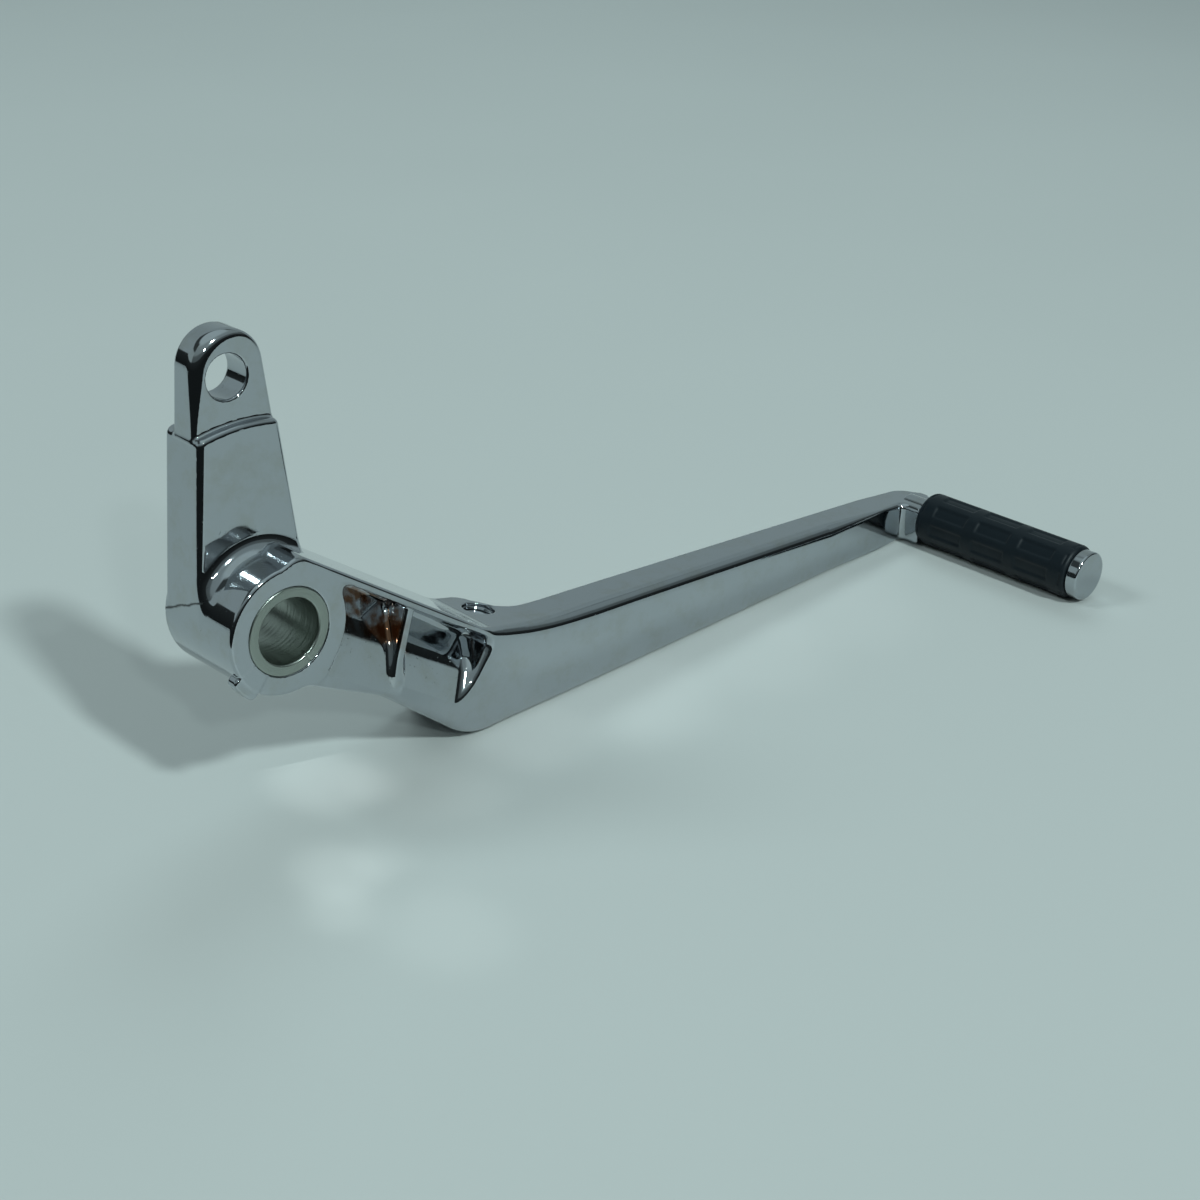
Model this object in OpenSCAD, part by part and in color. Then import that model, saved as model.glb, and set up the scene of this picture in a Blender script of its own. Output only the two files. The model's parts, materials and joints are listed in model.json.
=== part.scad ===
// Rear brake pedal for a motorcycle: one plated lever casting, its pivot bush and the toe-peg rubber.
// Frame: the pivot axis is Y, the hub's outboard face is Y = 0, +X points forward, +Z up.

/* [Hub] */
// Outside diameter of the hub barrel
hub_d = 37; // [33:0.5:44]
// Length of the hub along the pivot
hub_len = 31; // [26:0.5:40]
// Growth of the barrel's radius towards its back, as casting draft
hub_draft = 0.7; // [0:0.1:1.5]
// Rounding of the hub's rims
hub_rim_r = 1; // [0.4:0.1:2]
// Reach of the stop tab from the pivot axis
tab_reach = 21; // [20:0.5:26]
// Angle of the stop tab's middle
tab_angle = 219; // [205:1:235]
// Width of the stop tab in degrees
tab_width = 27; // [15:1:40]
// Thickness of the stop tab along the pivot
tab_thick = 4; // [3:0.5:12]

/* [Pivot bush] */
// Outside diameter of the bush
bush_od = 25.4; // [22:0.1:28]
// Bore of the bush
bush_bore = 19.05; // [16:0.05:21]
// Chamfer at the ends of the bush's bore
bush_chamfer = 0.5; // [0.2:0.1:1]

/* [Tang] */
// Height of the rod hole above the pivot axis
rod_hole_z = 67.2; // [60:0.2:80]
// Distance of the rod hole behind the pivot axis
rod_hole_back = 1.1; // [0:0.1:3]
// Diameter of the rod hole
rod_hole_d = 12.2; // [8:0.1:13]
// Radius of the tang's round top
tang_top_r = 10.6; // [9:0.1:13]
// Distance of the round top's centre ahead of the rod hole
top_ahead = 0.8; // [0:0.1:2]
// Distance of the round top's centre above the rod hole
top_above = 1.7; // [0:0.1:3]
// Width of the tang where it leaves the hub
tang_base_w = 35.2; // [32:0.2:36.4]
// Distance of the tang's base behind the pivot axis
tang_base_back = 1.3; // [0.6:0.1:1.8]
// Thickness of the tang's foot
tang_thick = 16.5; // [13:0.5:20]
// Thickness of the tang's tip
tip_thick = 9.6; // [6:0.1:12]
// Distance of the tip's back face from the foot's back face
tip_back_step = 4.1; // [2:0.1:6]
// Radius of the shoulders about the pivot
shoulder_r = 54.5; // [45:0.5:56]
// Fillet between the barrel and the tang
tang_fillet_r = 5; // [2:0.5:8]

/* [Arm] */
// Pivot axis to peg axis, measured forward
reach = 273; // [230:1:320]
// Pivot axis to the underside of the arm
drop = 59.1; // [52:0.5:70]
// Downward slope of the hub end's top
hub_slope = 35.4; // [32:0.2:38]
// Distance of the hub end's top from the pivot axis
top_offset = 19.9; // [19:0.1:22]
// Length of the raised lug behind the top's foot point
lug_len = 8.6; // [6:0.2:10]
// Rounding of the lug
lug_r = 6; // [3:0.5:8]
// Downward slope of the top above the heel
heel_top_slope = 14; // [10:0.5:18]
// Radius between the hub end's top and the heel's top
heel_top_r = 18; // [8:1:30]
// Radius between the heel's top and the long arm's top
bend_r = 150; // [60:5:180]
// Radius under the arm where its two slopes meet
knee_r = 30; // [10:1:60]
// Downward slope of the underside just ahead of the hub
under_slope = 28.5; // [24:0.5:32]
// Distance of that underside from the pivot axis
under_offset = 14; // [12:0.2:16]
// Downward slope of the underside behind the heel
heel_slope = 40.5; // [36:0.5:44]
// Place of the heel's corner ahead of the pivot
heel_x = 61.2; // [56:0.2:66]
// Radius under the heel
heel_r = 22; // [14:1:30]
// Place where the long arm's straight top begins
bend_x = 91.2; // [86:0.2:110]
// Height of the long arm where it begins
arm_h_heel = 28.7; // [24:0.5:34]
// Height of the long arm at the peg axis
arm_h_tip = 14.3; // [11:0.5:19]
// Step from the hub's back face to the arm's
arm_back_step = 0.8; // [0.2:0.1:4]
// Thickness of the long arm where it begins
arm_t_heel = 16.2; // [12:0.2:20]
// Thickness of the long arm at its tip
arm_t_tip = 12.4; // [10:0.2:16]
// Length over which the back face steps in to the long arm
waist_len = 8.5; // [6:0.5:14]
// Place of the waist's slender end behind the straight top's start
waist_gap = 3; // [1:0.5:6]
// Radius at the waist's slender end
waist_r = 10; // [4:0.5:14]
// Radius at the waist's thick end
waist_back_r = 6; // [2:0.5:8]
// Distance of the arm's end past the peg axis
tip_over = 8.7; // [8:0.1:12]
// Rounding of the arm's end, seen from above
tip_r = 10; // [6:0.5:12]

/* [Scoop] */
// Thickness of the lip above the scoop
lip = 2.6; // [1.5:0.1:5]
// Depth of the scoop under the lip
scoop_depth = 11; // [6:0.5:14]
// Height over which the scoop runs out ahead of the rib
scoop_h = 21.5; // [16:0.5:24]
// Height over which the scoop runs out behind the rib
recess_h = 25; // [20:0.5:26]
// Steepest tilt of the scoop's floor
scoop_tilt = 42; // [34:1:50]
// Distance of the scoop's front wall from the pivot axis along the arm
scoop_end = 73.4; // [66:0.2:78]
// Rounding of the scoop's corner under the lip
scoop_corner_r = 5; // [2:0.5:8]
// Gap left round the hub's rim
scoop_hub_gap = 0.4; // [0:0.1:2]
// Width of the rib across the scoop
rib_w = 3.4; // [2:0.1:5]
// Place of the rib's middle ahead of the pivot, at the pivot's height
rib_x = 43.9; // [38:0.2:50]
// Lean of the rib from upright
rib_lean = 17.9; // [10:0.2:26]
// Distance of the rib's crest behind the front face
rib_set = 1; // [0.5:0.1:4]

/* [Adjuster hole] */
// Tapping diameter of the adjuster hole
adj_d = 8.5; // [5:0.1:10.2]
// Diameter of its countersink
adj_sink_d = 10; // [6:0.1:12]
// Depth of its full bore
adj_depth = 20; // [12:1:24]
// Place of its mouth ahead of the pivot
adj_x = 79.2; // [74:0.2:84]
// Place of its axis behind the front face
adj_y = 17.6; // [12:0.2:20]

/* [Toe peg] */
// Outside diameter of the rubber
rubber_d = 19; // [16:0.5:24]
// Length of the rubber
rubber_len = 63.4; // [50:0.5:80]
// Rounding of the rubber's ends
rubber_rim_r = 1; // [0.5:0.1:2]
// Diameter of the cast core inside the rubber
core_d = 12; // [9:0.5:14]
// Number of hollows round the rubber's tread
tread_count = 8; // [5:1:9]
// Number of rings of hollows along the rubber
tread_rings = 3; // [2:1:4]
// Distance between the rings' starts
tread_pitch = 18.2; // [10:0.2:18.8]
// Length of a hollow
tread_len = 13.4; // [6:0.2:16]
// Width of a hollow in degrees
tread_width = 25; // [14:1:32]
// Depth of the hollows
tread_depth = 0.6; // [0.2:0.1:1.5]
// Length of the neck between the arm and the rubber
neck_len = 7.4; // [4:0.2:12]
// Width of the neck along the arm
neck_w = 15.6; // [13:0.2:18]
// Fillet between the neck and the arm
neck_fillet_r = 2.2; // [0.5:0.1:4]
// Diameter of the end disc
disc_d = 17.2; // [14:0.2:18.8]
// Thickness of the end disc
disc_t = 4.4; // [3:0.2:8]
// Rounding of the end disc's rim
disc_rim_r = 0.8; // [0.4:0.1:1.4]

/* [Fits] */
// Radial gap drawn at the pressed bush and the stretched rubber
fit_gap = 0.02; // [0.01:0.01:0.05]

/* [Hidden] */
$fn = 96;
ARC_STEPS = 10;
OVER = 1;
FAR = 400;
DRILL_POINT = 118;

peg_z = rubber_d / 2 - drop;
peg_end_y = -neck_len - rubber_len;
tip_x = reach + tip_over;
arm_back = hub_len - arm_back_step;
arm_rise = (arm_h_heel - arm_h_tip) / (reach - bend_x);
top_foot = top_offset * [sin(hub_slope), cos(hub_slope)];
arm_dir = [cos(hub_slope), -sin(hub_slope)];
tang_centre = [top_ahead - rod_hole_back, rod_hole_z + top_above];
tang_front = hub_len - tang_thick;
tip_back = hub_len - tip_back_step;

// Meeting point of two lines, each given by a point and its downward slope
function meet(p, a, q, b) =
    let (k = -tan(a), m = -tan(b), x = (q[1] - p[1] + k * p[0] - m * q[0]) / (k - m))
    [x, p[1] + k * (x - p[0])];

function unit(v) = v / norm(v);

function turn(a) = a > 180 ? a - 360 : a < -180 ? a + 360 : a;

// Points that round the corner c between the points p and q
function corner(p, c, q, r) =
    r <= 0 ? [c] :
    let (
        u = unit(p - c),
        v = unit(q - c),
        half = acos(u * v) / 2,
        centre = c + unit(u + v) * r / sin(half),
        s = c + u * r / tan(half) - centre,
        e = c + v * r / tan(half) - centre,
        a = atan2(s[1], s[0]),
        sweep = turn(atan2(e[1], e[0]) - a)
    )
    [for (i = [0 : ARC_STEPS]) centre + r * [cos(a + sweep * i / ARC_STEPS), sin(a + sweep * i / ARC_STEPS)]];

// Closed outline of [x, y, radius] corners
function rounded(c) =
    let (n = len(c), at = function(i) [c[(i + n) % n][0], c[(i + n) % n][1]])
    [for (i = [0 : n - 1]) each corner(at(i - 1), at(i), at(i + 1), c[i][2])];

// Touching point of the line from p to a circle, on the given side
function touch(p, c, r, side) =
    let (d = norm(c - p), a = atan2(c[1] - p[1], c[0] - p[0]) + side * asin(r / d))
    p + sqrt(d * d - r * r) * [cos(a), sin(a)];

// A side view drawn in X and Z, given thickness from y0 to y1
module plate(y0, y1) {
    translate([0, y1, 0]) rotate([90, 0, 0]) linear_extrude(y1 - y0) children();
}

// A profile of radius and Y, turned about the pivot direction
module turned() {
    rotate([-90, 0, 0]) rotate_extrude() children();
}

// Half section of a turned piece from y0 to y1, its radius r0 in front and r1 behind, rims rounded by r
module rim_profile(r0, r1, y0, y1, r) {
    difference() {
        polygon([[0, y0], [r0, y0], [r1, y1], [0, y1]]);
        for (e = [[r0, y0, -1], [r1, y1, 1]])
            difference() {
                translate([e[0] - r, e[2] < 0 ? e[1] - OVER : e[1] - r]) square(r + OVER);
                translate([e[0] - r, e[1] - e[2] * r]) circle(r);
            }
    }
}

// Side view of the arm from the lug to its end
module arm_side() {
    lug = top_foot - lug_len * arm_dir;
    bend = [bend_x, arm_h_heel - drop];
    shoulder = meet(top_foot, hub_slope, bend, heel_top_slope);
    end_z = bend[1] - arm_rise * (tip_x - bend_x);
    heel = [heel_x, -drop];
    under_foot = -under_offset * [sin(under_slope), cos(under_slope)];
    knee = meet(under_foot, under_slope, heel, heel_slope);
    start = meet([0, -hub_d * 0.46], 0, under_foot, under_slope);
    polygon(rounded([
        [-hub_d / 6, 0, 0],
        [-hub_d / 12, hub_d * 0.45, 0],
        [lug[0], lug[1], lug_r],
        [shoulder[0], shoulder[1], heel_top_r],
        [bend[0], bend[1], bend_r],
        [tip_x, end_z, 0],
        [tip_x, -drop, 0],
        [heel[0], heel[1], heel_r],
        [knee[0], knee[1], knee_r],
        [start[0], start[1], 0]
    ]));
}

// Plan view of the arm: thick at the hub, slender ahead of the heel, with the peg's neck at its end
module arm_plan() {
    waist = bend_x - waist_gap;
    polygon(rounded([
        [-hub_d / 2, 0, 0],
        [tip_x - neck_w, 0, neck_fillet_r],
        [tip_x - neck_w, -neck_len, 0],
        [tip_x, -neck_len, 0],
        [tip_x, arm_t_tip, tip_r],
        [waist, arm_t_heel, waist_r],
        [waist - waist_len, arm_back, waist_back_r],
        [-hub_d / 2, arm_back, 0]
    ]));
}

// Section of the scoop, drawn as distance below the lip and depth
module scoop_section(h) {
    // One radius serves the hollow under the lip and the swell that runs out to the face
    r = (h * sin(scoop_tilt) - scoop_depth * cos(scoop_tilt)) / (2 * (1 - cos(scoop_tilt)));
    tilts = [for (i = [0 : ARC_STEPS]) scoop_tilt * i / ARC_STEPS];
    hollow = [for (a = tilts) [r * sin(a), scoop_depth - r * (1 - cos(a))]];
    swell = [for (i = [ARC_STEPS : -1 : 0]) [h - r * sin(tilts[i]), r * (1 - cos(tilts[i]))]];
    polygon(concat([[0, -OVER]], hollow, swell, [[h, -OVER]]));
}

// Places a child drawn along the arm's top line, with its X along the arm and its Z square to it
module along_arm() {
    translate([top_foot[0], 0, top_foot[1]]) rotate([0, hub_slope, 0]) children();
}

// Sector of a disc about the pivot between two angles
module sector(r, a0, a1) {
    intersection() {
        circle(r);
        polygon([[0, 0], 2 * r * [cos(a0), sin(a0)], 2 * r * [cos(a1), sin(a1)]]);
    }
}

// Long hollow under the lip, running out over the height h
module hollow(h) {
    along_arm()
        intersection() {
            translate([-lug_len, 0, -lip])
                rotate([0, 90, 0])
                linear_extrude(scoop_end + lug_len) scoop_section(h);
            plate(-OVER, scoop_depth + OVER)
                polygon(rounded([
                    [-lug_len, -lip, 0],
                    [scoop_end, -lip, scoop_corner_r],
                    [scoop_end, -h - lip - OVER, 0],
                    [-lug_len, -h - lip - OVER, 0]
                ]));
        }
}

// Everything on one side of the rib: -1 behind it, 1 ahead of it
module beside_rib(side) {
    translate([rib_x, -2 * OVER, 0])
        rotate([0, rib_lean, 0])
        translate([side * (FAR + rib_w) / 2 - FAR / 2, 0, -FAR / 2])
        cube(FAR);
}

// The scoop in the arm's outboard face, with the hub and the rib left standing
module scoop() {
    difference() {
        union() {
            intersection() {
                hollow(recess_h);
                beside_rib(-1);
            }
            intersection() {
                hollow(scoop_h);
                beside_rib(1);
            }
            intersection() {
                hollow(scoop_h);
                plate(-2 * OVER, rib_set) circle(FAR / 2);
            }
        }
        turned() translate([0, -2 * OVER]) square([hub_d / 2 + scoop_hub_gap, FAR]);
    }
}

module tang_side() {
    left = [-tang_base_w / 2 - tang_base_back, hub_d * 0.054];
    right = [tang_base_w / 2 - tang_base_back, hub_d * 0.216];
    polygon([
        [-hub_d * 0.4, -hub_d * 0.13],
        left,
        touch(left, tang_centre, tang_top_r, 1),
        tang_centre,
        touch(right, tang_centre, tang_top_r, -1),
        right,
        [hub_d * 0.4, -hub_d * 0.05]
    ]);
    translate(tang_centre) circle(tang_top_r);
}

module tang() {
    plate(tang_front, hub_len)
        intersection() {
            tang_side();
            circle(shoulder_r);
        }
    plate(tip_back - tip_thick, tip_back) tang_side();
    intersection() {
        plate(tang_front - tang_fillet_r, tang_front) tang_side();
        turned()
            difference() {
                translate([hub_d / 2 - OVER, tang_front - tang_fillet_r])
                    square(tang_fillet_r + OVER);
                translate([hub_d / 2 + tang_fillet_r, tang_front - tang_fillet_r]) circle(tang_fillet_r);
            }
    }
}

module stop_tab() {
    plate(0, tab_thick)
        sector(tab_reach, tab_angle - tab_width / 2, tab_angle + tab_width / 2);
}

module peg_core() {
    translate([reach, 0, peg_z]) turned() {
        translate([0, peg_end_y - OVER]) square([core_d / 2, -peg_end_y + OVER]);
        rim_profile(disc_d / 2, disc_d / 2, peg_end_y - disc_t, peg_end_y, disc_rim_r);
    }
}

module adjuster_hole() {
    mouth = [adj_x, arm_h_heel - drop + (bend_x - adj_x) * tan(heel_top_slope)];
    sink = (adj_sink_d - adj_d) / 2;
    point = adj_d / 2 / tan(DRILL_POINT / 2);
    translate([mouth[0], adj_y, mouth[1]]) rotate([0, heel_top_slope, 0]) {
        translate([0, 0, -adj_depth]) cylinder(d = adj_d, h = adj_depth + 4 * OVER);
        translate([0, 0, -sink]) cylinder(d1 = adj_d, d2 = adj_sink_d + 2 * OVER, h = sink + OVER);
        translate([0, 0, -adj_depth - point]) cylinder(d1 = 0.2, d2 = adj_d, h = point);
    }
}

// The plated casting
module lever() {
    color([0.78, 0.8, 0.8])
        difference() {
            union() {
                turned() rim_profile(hub_d / 2, hub_d / 2 + hub_draft, 0, hub_len, hub_rim_r);
                tang();
                stop_tab();
                difference() {
                    intersection() {
                        plate(-neck_len, arm_back) arm_side();
                        translate([0, 0, -FAR / 2]) linear_extrude(FAR) arm_plan();
                    }
                    scoop();
                }
                peg_core();
            }
            turned() translate([0, -OVER]) square([bush_od / 2 + fit_gap, hub_len + 2 * OVER]);
            translate([-rod_hole_back, 0, rod_hole_z])
                turned() translate([0, -OVER]) square([rod_hole_d / 2, hub_len + 2 * OVER]);
            adjuster_hole();
        }
}

// The sintered bush pressed into the hub
module pivot_bush() {
    c = bush_chamfer;
    color([0.62, 0.65, 0.62])
        turned()
            polygon([
                [bush_bore / 2 + c, 0],
                [bush_od / 2, 0],
                [bush_od / 2, hub_len],
                [bush_bore / 2 + c, hub_len],
                [bush_bore / 2, hub_len - c],
                [bush_bore / 2, c]
            ]);
}

// One ring of the tread: shallow hollows, evenly spread round the rubber
module tread_ring() {
    step = 360 / tread_count;
    for (i = [0 : tread_count - 1])
        plate(0, tread_len)
            difference() {
                sector(rubber_d, i * step - tread_width / 2, i * step + tread_width / 2);
                circle(rubber_d / 2 - tread_depth);
            }
}

// The rubber stretched over the core, held between the neck and the end disc
module peg_rubber() {
    margin = (rubber_len - (tread_rings - 1) * tread_pitch - tread_len) / 2;
    color([0.1, 0.12, 0.14])
        translate([reach, 0, peg_z])
            difference() {
                turned()
                    difference() {
                        rim_profile(
                            rubber_d / 2, rubber_d / 2, peg_end_y + fit_gap, -neck_len - fit_gap, rubber_rim_r
                        );
                        translate([0, peg_end_y - OVER]) square([core_d / 2 + fit_gap, rubber_len + 2 * OVER]);
                    }
                for (i = [0 : tread_rings - 1])
                    translate([0, peg_end_y + margin + i * tread_pitch, 0]) tread_ring();
            }
}

lever();
pivot_bush();
peg_rubber();
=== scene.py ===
import json
import math

import bmesh
import bpy
import numpy as np
import openvdb
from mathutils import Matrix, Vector


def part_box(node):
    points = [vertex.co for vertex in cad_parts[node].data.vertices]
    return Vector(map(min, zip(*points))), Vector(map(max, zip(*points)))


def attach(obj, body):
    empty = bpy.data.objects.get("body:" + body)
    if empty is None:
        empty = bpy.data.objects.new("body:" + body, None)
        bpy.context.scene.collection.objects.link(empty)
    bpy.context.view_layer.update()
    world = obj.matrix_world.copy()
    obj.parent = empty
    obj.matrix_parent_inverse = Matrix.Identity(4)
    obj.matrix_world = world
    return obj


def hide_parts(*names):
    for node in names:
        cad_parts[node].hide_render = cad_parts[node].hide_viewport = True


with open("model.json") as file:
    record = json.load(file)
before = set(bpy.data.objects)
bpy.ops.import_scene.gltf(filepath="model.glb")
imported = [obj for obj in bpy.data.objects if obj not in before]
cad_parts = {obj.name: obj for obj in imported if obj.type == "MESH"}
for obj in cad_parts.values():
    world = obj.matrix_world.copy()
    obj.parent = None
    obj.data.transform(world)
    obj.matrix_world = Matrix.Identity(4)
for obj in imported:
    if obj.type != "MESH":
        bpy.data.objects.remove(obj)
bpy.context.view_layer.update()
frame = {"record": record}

# Table and backdrop. One sheet of pale grey matt laminate, far larger than the picture.
# It takes the soft shadow, and the plating mirrors it as the room's brightest surface.

MM = 0.001
VIEW_AZIMUTH = -43.6
TABLE_NEAR, TABLE_FAR, TABLE_HALF = -171, 4000, 2500
TABLE_DRIFT = 350


def linear(hex_colour):
    """An sRGB hex colour as linear RGBA."""
    srgb = [int(hex_colour[i : i + 2], 16) / 255 for i in (1, 3, 5)]
    return [c / 12.92 if c <= 0.04045 else ((c + 0.055) / 1.055) ** 2.4 for c in srgb] + [1.0]


def add_node(tree, kind, settings=None, **links):
    """Adds one node with its settings. A link is an input's name, with _ for a space, or i and its
    number, and what goes in: a plain value or another node's output."""
    node = tree.nodes.new(kind)
    for name, value in (settings or {}).items():
        setattr(node, name, value)
    for name, value in links.items():
        socket = node.inputs[int(name[1:]) if name[1:].isdigit() else name.replace("_", " ")]
        if isinstance(value, bpy.types.NodeSocket):
            tree.links.new(value, socket)
        else:
            socket.default_value = value
    return node


def new_material(name):
    """An empty node material, with its tree and its output node."""
    material = bpy.data.materials.new(name)
    material.use_nodes = True
    tree = material.node_tree
    tree.nodes.clear()
    return material, tree, tree.nodes.new("ShaderNodeOutputMaterial")


floor_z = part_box("peg_rubber")[0].z
corners = (
    (-TABLE_HALF, TABLE_NEAR),
    (TABLE_HALF, TABLE_NEAR),
    (TABLE_HALF, TABLE_FAR),
    (-TABLE_HALF, TABLE_FAR),
)
table_mesh = bpy.data.meshes.new("table")
table_mesh.from_pydata([(x * MM, y * MM, 0) for x, y in corners], [], [(0, 1, 2, 3)])
table = bpy.data.objects.new("table", table_mesh)
table.location.z = floor_z
table.rotation_euler.z = math.radians(VIEW_AZIMUTH)
bpy.context.scene.collection.objects.link(table)

# Matt laminate: dull and even, its grey drifting by a few percent over patches wider than a hand
laminate, tree, out = new_material("matt_laminate")
place = add_node(tree, "ShaderNodeTexCoord").outputs["Object"]
drift = add_node(tree, "ShaderNodeTexNoise", Vector=place, Scale=1 / (TABLE_DRIFT * MM), Detail=2.0)
tone = add_node(
    tree, "ShaderNodeMix", {"data_type": "RGBA"}, i0=drift.outputs["Fac"],
    i6=linear("#C1C3C1"), i7=linear("#C7C9C7"),
)
skin = add_node(tree, "ShaderNodeBsdfPrincipled", Base_Color=tone.outputs[2], Roughness=0.55)
tree.links.new(skin.outputs[0], out.inputs[0])
table_mesh.materials.append(laminate)

# Camera. A phone held about half a metre from the hub, looking down the arm from behind and outboard.
# Its angle and place were worked out from the bush's ellipses and the arm's converging edges.

VIEW_ELEVATION = 26.95
CAMERA_PLACE = Vector((-239.6, -370.9, 230.1)) * MM
FOCAL_PIXELS = 1850
FRAME_PIXELS = 1200
SENSOR = 36.0
CLIP_START = 10

camera = bpy.data.objects.new("camera", bpy.data.cameras.new("camera"))
camera.data.sensor_width = SENSOR
camera.data.lens = SENSOR * FOCAL_PIXELS / FRAME_PIXELS
camera.data.clip_start = CLIP_START * MM
camera.location = CAMERA_PLACE
camera.rotation_euler = (math.radians(90 - VIEW_ELEVATION), 0, math.radians(VIEW_AZIMUTH))
bpy.context.scene.collection.objects.link(camera)
bpy.context.scene.camera = camera

# Room and lamps. A dim room with pale greenish walls, which the plating mirrors: dark low down on the
# camera's side and pale ahead. Two soft lamps high on the outboard side throw the double shadow
# inboard, and a window and the far wall brighten the table from behind.

ROOM_TINT = (0.80, 1.0, 1.02)
# Wall tones as (sine of the elevation, brightness): outboard, inboard, and ahead of the camera
NEAR_TONES = (
    (0.0, 0.015), (0.30, 0.03), (0.32, 0.12), (0.50, 0.15),
    (0.56, 0.31), (0.80, 0.34), (0.90, 0.55), (1.0, 0.55),
)
SIDE_TONES = (
    (0.0, 0.015), (0.285, 0.03), (0.30, 0.40), (0.62, 0.40),
    (0.66, 0.06), (0.85, 0.06), (0.90, 0.55),
)
FAR_TONES = (
    (0.0, 0.30), (0.05, 0.36), (0.35, 0.38), (0.55, 0.36),
    (0.80, 0.40), (0.90, 0.55), (1.0, 0.55),
)
FAR_FROM, FAR_TO = 0.42, 0.60
INBOARD_SOFT = 0.05
WALL_SHARE = 0.47


def height_ramp(tree, height, stops):
    """The walls' tones at a height, as a colour in the room's tint."""
    ramp = add_node(tree, "ShaderNodeValToRGB", Fac=height)
    while len(ramp.color_ramp.elements) < len(stops):
        ramp.color_ramp.elements.new(0.5)
    for stop, (position, light) in zip(ramp.color_ramp.elements, stops):
        stop.position = position
        stop.color = [light * c for c in ROOM_TINT] + [1]
    return ramp.outputs["Color"]


bpy.context.scene.view_settings.view_transform = "Standard"
room = bpy.data.worlds.new("room")
bpy.context.scene.world = room
room.use_nodes = True
tree = room.node_tree
tree.nodes.clear()
way = add_node(tree, "ShaderNodeTexCoord").outputs["Generated"]
split = add_node(tree, "ShaderNodeSeparateXYZ", Vector=way)
height = split.outputs["Z"]
view_way = (-math.sin(math.radians(VIEW_AZIMUTH)), math.cos(math.radians(VIEW_AZIMUTH)), 0)
ahead = add_node(tree, "ShaderNodeVectorMath", {"operation": "DOT_PRODUCT"}, i0=way, i1=view_way)
is_far = add_node(
    tree, "ShaderNodeMapRange", {"interpolation_type": "SMOOTHSTEP"},
    Value=ahead.outputs["Value"], From_Min=FAR_FROM, From_Max=FAR_TO,
)
is_inboard = add_node(
    tree, "ShaderNodeMapRange", Value=split.outputs["Y"], From_Min=-INBOARD_SOFT, From_Max=INBOARD_SOFT
)
walls = add_node(
    tree, "ShaderNodeMix", {"data_type": "RGBA"}, i0=is_inboard.outputs["Result"],
    i6=height_ramp(tree, height, NEAR_TONES), i7=height_ramp(tree, height, SIDE_TONES),
)
tones = add_node(
    tree, "ShaderNodeMix", {"data_type": "RGBA"}, i0=is_far.outputs["Result"],
    i6=walls.outputs[2], i7=height_ramp(tree, height, FAR_TONES),
)
# The walls light the table less than they show in the plating, because the lamps outshine them
path = add_node(tree, "ShaderNodeLightPath")
strength = add_node(
    tree, "ShaderNodeMapRange", Value=path.outputs["Is Diffuse Ray"], To_Min=1.0, To_Max=WALL_SHARE
)
sky = add_node(tree, "ShaderNodeBackground", Color=tones.outputs[2], Strength=strength.outputs["Result"])
add_node(tree, "ShaderNodeOutputWorld", Surface=sky.outputs[0])


def add_lamp(name, kind, place, aim, power, tint, **settings):
    """A lamp at place, turned to aim, both in millimetres."""
    data = bpy.data.lights.new(name, kind)
    data.energy = power
    data.color = linear(tint)[:3]
    for key, value in settings.items():
        setattr(data, key, value)
    lamp = bpy.data.objects.new(name, data)
    lamp.location = Vector(place) * MM
    lamp.rotation_mode = "QUATERNION"
    lamp.rotation_quaternion = (Vector(aim) * MM - lamp.location).to_track_quat("-Z", "Y")
    bpy.context.scene.collection.objects.link(lamp)
    return lamp


# Shaded bulbs: place, power in watts and the radius that blurs the shadow
LAMP_AIM, LAMP_TINT, LAMP_CONE = (120, 120, 0), "#E9FFFF", math.radians(44)
for name, place, power, radius in (
    ("main_lamp", (-140, -2900, 2760), 350, 170),
    ("second_lamp", (-1200, -3090, 2220), 70, 110),
):
    add_lamp(
        name, "SPOT", place, LAMP_AIM, power, LAMP_TINT,
        shadow_soft_size=radius * MM, spot_size=LAMP_CONE, spot_blend=1.0,
    )

# Broad lights that the plating doesn't mirror: place, aim, power, tint and diameter
for name, place, aim, power, tint, across in (
    ("window", (-1200, 1150, 1700), (150, 0, 0), 15, "#E4FAFC", 700),
    ("back_wall", (1900, 1500, 2400), (200, 0, 0), 19, "#DFFBFF", 1800),
):
    lamp = add_lamp(name, "AREA", place, aim, power, tint, shape="DISK", size=across * MM)
    lamp.visible_glossy = False

# Light that the plating throws back onto the table, as soft bright patches outboard of the pedal. Each
# has its place on the table, its half-width and its power, and a lamp too narrow to touch the pedal.
GLINTS = (
    ((15, 12), 10, 3.6),
    ((24, 2), 6, 1.6),
    ((36, -14), 12, 1.6),
    ((-9, -27), 8, 3.0),
    ((-19, -41), 6, 2.2),
    ((3, -31), 5, 1.4),
    ((-4, -67), 11, 1.2),
    ((74, -6), 13, 2.0),
    ((112, -10), 18, 1.8),
    ((160, -12), 20, 1.2),
    ((205, -14), 20, 0.8),
)
GLINT_HEIGHT, GLINT_OUTBOARD, GLINT_RADIUS = 500, 350, 4
GLINT_FADE = 1.6
GLINT_TINT = "#F2FFFF"
table_z = floor_z / MM
for number, ((x, y), half_width, power) in enumerate(GLINTS, 1):
    place = (x, y - GLINT_OUTBOARD, table_z + GLINT_HEIGHT)
    cone = 2 * math.atan(GLINT_FADE * half_width / GLINT_HEIGHT)
    add_lamp(
        f"glint_{number}", "SPOT", place, (x, y, table_z), power, GLINT_TINT,
        shadow_soft_size=GLINT_RADIUS * MM, spot_size=cone, spot_blend=1.0,
    )

# Lever. One aluminium casting, with hub, stop tab, tang, scooped arm and peg core in one, ground and
# buffed and then chrome-plated. It is written in millimetres as a distance field, in which every edge
# and corner is rounded as the buffing left it.

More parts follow.
